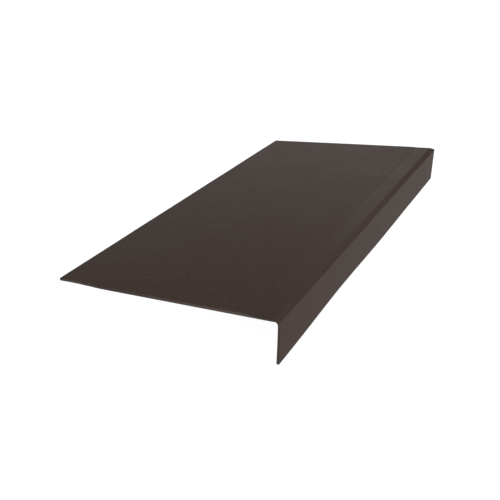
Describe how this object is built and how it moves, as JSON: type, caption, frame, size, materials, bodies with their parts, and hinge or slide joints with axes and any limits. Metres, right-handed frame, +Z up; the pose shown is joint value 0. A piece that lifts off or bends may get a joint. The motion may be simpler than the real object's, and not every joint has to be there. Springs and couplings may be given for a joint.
{
  "type": "rubber stair tread",
  "caption": "Moulded rubber stair tread: thin flat sheet with a bevelled square nose, a smooth band behind the bevel, a grained walking field and a lip turned down over the step's edge.",
  "frame": {"origin": "middle of the footprint, on the floor that the tread rests on", "axes": "+X along the nose, +Y from the nose to the back edge, +Z up"},
  "size_m": [0.6096, 0.31, 0.0555],
  "materials": {
    "brown_rubber": "satin brown rubber with a fine low leather grain"
  },
  "bodies": {
    "root": {"stair_tread": "brown_rubber"}
  },
  "joints": []
}
